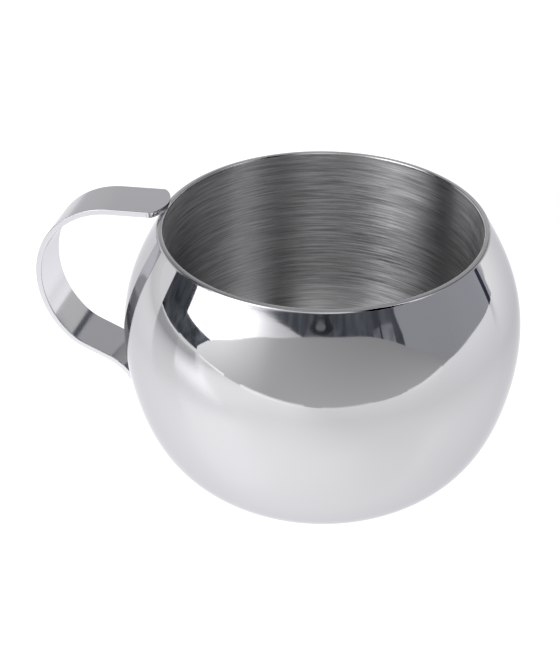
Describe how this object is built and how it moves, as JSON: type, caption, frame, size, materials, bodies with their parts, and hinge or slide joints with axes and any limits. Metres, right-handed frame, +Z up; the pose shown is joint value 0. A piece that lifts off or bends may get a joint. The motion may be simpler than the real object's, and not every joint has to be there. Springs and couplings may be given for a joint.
{
  "type": "shaving mug",
  "caption": "Double-walled steel shaving mug: a polished globe with a brushed open liner and a flat strap handle, for whipping up lather with a brush.",
  "frame": {"origin": "centre of the ring that the mug stands on, in the standing plane", "axes": "+Z up along the bowl's axis, out of its mouth; the handle points along -X; X-Z is the plane of symmetry"},
  "size_m": [0.1113, 0.09, 0.0653],
  "materials": {
    "mirror_polished_steel": "mirror-polished stainless steel sheet, with faint buffing marks",
    "brushed_steel": "stainless steel sheet brushed round the bowl, with a polished hem",
    "polished_strip": "polished stainless steel strip with softly broken edges",
    "turned_steel": "stainless steel disc with fine turning marks",
    "dressed_weld": "stainless steel weld metal, dressed and satin"
  },
  "bodies": {
    "root": {"outer_shell": "mirror_polished_steel", "inner_liner": "brushed_steel", "lip_seam_weld": "dressed_weld", "base_plate": "turned_steel", "base_seam_weld": "dressed_weld", "handle_strap": "polished_strip", "handle_tip_weld": "dressed_weld", "handle_pad_weld": "dressed_weld"}
  },
  "joints": []
}
